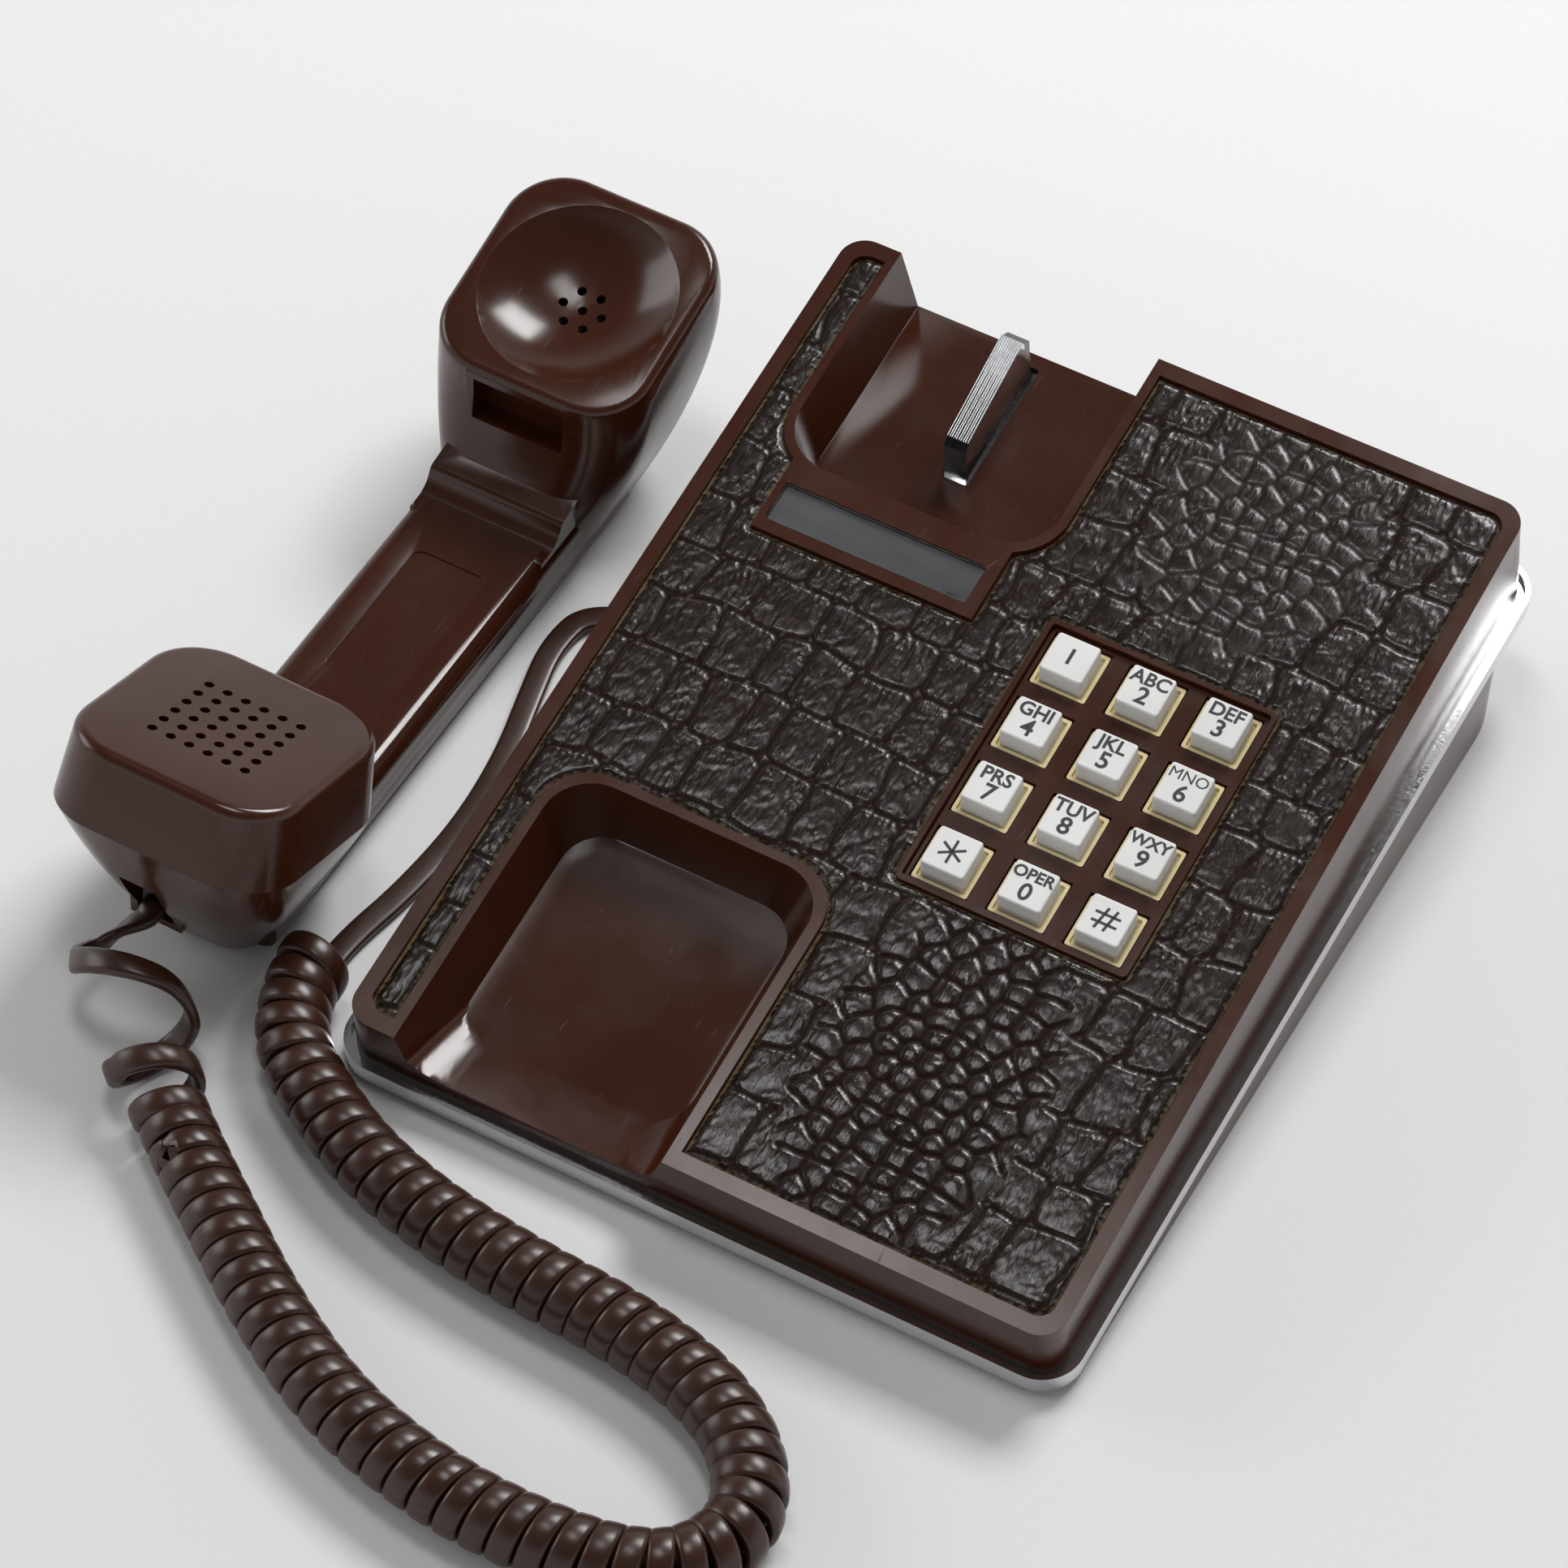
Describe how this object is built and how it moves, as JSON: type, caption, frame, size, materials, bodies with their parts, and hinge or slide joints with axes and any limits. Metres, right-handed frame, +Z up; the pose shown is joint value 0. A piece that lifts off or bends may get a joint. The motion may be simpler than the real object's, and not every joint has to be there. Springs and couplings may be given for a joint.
{
  "type": "telephone",
  "caption": "Slimline push-button telephone on a desk wedge, with a leather-topped housing, handset wells and a curly-corded handset beside it.",
  "frame": {"origin": "on the desk face, under the middle of the wedge base", "axes": "+Z up from the desk, +Y to the rear where the top face is highest, +X to the phone's right as its user sees it"},
  "size_m": [0.2583, 0.3418, 0.0644],
  "materials": {
    "brown_plastic": "glossy dark brown moulded",
    "leather": "glossy embossed dark leather",
    "chrome": "bright plated",
    "key_white": "white moulded",
    "key_cream": "aged cream moulded",
    "clear": "clear moulded",
    "card": "grey card",
    "black_plastic": "black moulded",
    "steel": "plated sheet",
    "brass": "bell metal",
    "rubber": "soft moulded",
    "cord_brown": "satin brown cord jacket",
    "board": "printed board",
    "coil_wrap": "taped winding"
  },
  "bodies": {
    "base": {"housing_cover": "brown_plastic", "leather_panel": "leather", "number_card": "card", "card_window": "clear", "chrome_tray": "chrome", "chassis_plate": "steel", "wedge_base": "brown_plastic", "base_feet": "rubber", "screws": "steel", "handset_cord_jack": "black_plastic", "line_jack": "black_plastic", "keypad_faceplate": "brown_plastic", "keypad_frame": "black_plastic", "keypad_mat": "rubber", "keypad_board": "board", "hook_bracket": "steel", "hook_pin": "steel", "hook_contacts": "brass", "network_block": "black_plastic", "ringer_frame": "steel", "gong_high": "brass", "gong_low": "brass", "ringer_coil": "coil_wrap", "base_plug": "clear", "cord_base_lead": "cord_brown", "cord_coil": "cord_brown"},
    "hook_lever_body": {"hook_lever": "clear", "hook_lever_plate": "chrome"},
    "clapper_body": {"clapper": "steel"},
    "handset_body": {"handset_shell": "brown_plastic", "mouthpiece_cap": "brown_plastic", "transmitter": "black_plastic", "receiver": "black_plastic", "handset_socket": "black_plastic", "handset_plug": "clear", "cord_handset_lead": "cord_brown"},
    "key_1": {"key_body_1": "key_cream", "key_cap_1": "key_white"},
    "key_2": {"key_body_2": "key_cream", "key_cap_2": "key_white"},
    "key_3": {"key_body_3": "key_cream", "key_cap_3": "key_white"},
    "key_4": {"key_body_4": "key_cream", "key_cap_4": "key_white"},
    "key_5": {"key_body_5": "key_cream", "key_cap_5": "key_white"},
    "key_6": {"key_body_6": "key_cream", "key_cap_6": "key_white"},
    "key_7": {"key_body_7": "key_cream", "key_cap_7": "key_white"},
    "key_8": {"key_body_8": "key_cream", "key_cap_8": "key_white"},
    "key_9": {"key_body_9": "key_cream", "key_cap_9": "key_white"},
    "key_star": {"key_body_star": "key_cream", "key_cap_star": "key_white"},
    "key_0": {"key_body_0": "key_cream", "key_cap_0": "key_white"},
    "key_hash": {"key_body_hash": "key_cream", "key_cap_hash": "key_white"}
  },
  "joints": [
    {"name": "key_1_press", "type": "slide", "parent": "base", "child": "key_1", "axis": [0, 0.1628, -0.9867], "range_m": [0, 0.0032], "stiffness_N_per_m": 250},
    {"name": "key_2_press", "type": "slide", "parent": "base", "child": "key_2", "axis": [0, 0.1628, -0.9867], "range_m": [0, 0.0032], "stiffness_N_per_m": 250},
    {"name": "key_3_press", "type": "slide", "parent": "base", "child": "key_3", "axis": [0, 0.1628, -0.9867], "range_m": [0, 0.0032], "stiffness_N_per_m": 250},
    {"name": "key_4_press", "type": "slide", "parent": "base", "child": "key_4", "axis": [0, 0.1628, -0.9867], "range_m": [0, 0.0032], "stiffness_N_per_m": 250},
    {"name": "key_5_press", "type": "slide", "parent": "base", "child": "key_5", "axis": [0, 0.1628, -0.9867], "range_m": [0, 0.0032], "stiffness_N_per_m": 250},
    {"name": "key_6_press", "type": "slide", "parent": "base", "child": "key_6", "axis": [0, 0.1628, -0.9867], "range_m": [0, 0.0032], "stiffness_N_per_m": 250},
    {"name": "key_7_press", "type": "slide", "parent": "base", "child": "key_7", "axis": [0, 0.1628, -0.9867], "range_m": [0, 0.0032], "stiffness_N_per_m": 250},
    {"name": "key_8_press", "type": "slide", "parent": "base", "child": "key_8", "axis": [0, 0.1628, -0.9867], "range_m": [0, 0.0032], "stiffness_N_per_m": 250},
    {"name": "key_9_press", "type": "slide", "parent": "base", "child": "key_9", "axis": [0, 0.1628, -0.9867], "range_m": [0, 0.0032], "stiffness_N_per_m": 250},
    {"name": "key_star_press", "type": "slide", "parent": "base", "child": "key_star", "axis": [0, 0.1628, -0.9867], "range_m": [0, 0.0032], "stiffness_N_per_m": 250},
    {"name": "key_0_press", "type": "slide", "parent": "base", "child": "key_0", "axis": [0, 0.1628, -0.9867], "range_m": [0, 0.0032], "stiffness_N_per_m": 250},
    {"name": "key_hash_press", "type": "slide", "parent": "base", "child": "key_hash", "axis": [0, 0.1628, -0.9867], "range_m": [0, 0.0032], "stiffness_N_per_m": 250},
    {"name": "hook_lever_hinge", "type": "hinge", "parent": "base", "child": "hook_lever_body", "pos_m": [-0.04035, 0.0746, 0.02712], "axis": [-1, 0, 0], "range_deg": [0, 13], "stiffness_Nm_per_rad": 0.25},
    {"name": "clapper_hinge", "type": "hinge", "parent": "base", "child": "clapper_body", "pos_m": [0.04225, 0.06775, 0.03136], "axis": [0, -0.1014, 0.9948], "range_deg": [-1.6, 1.6], "stiffness_Nm_per_rad": 0.01},
    {"name": "handset_lift", "type": "slide", "parent": "base", "child": "handset_body", "axis": [0, 0, 1], "range_m": [0, 0.12]}
  ]
}
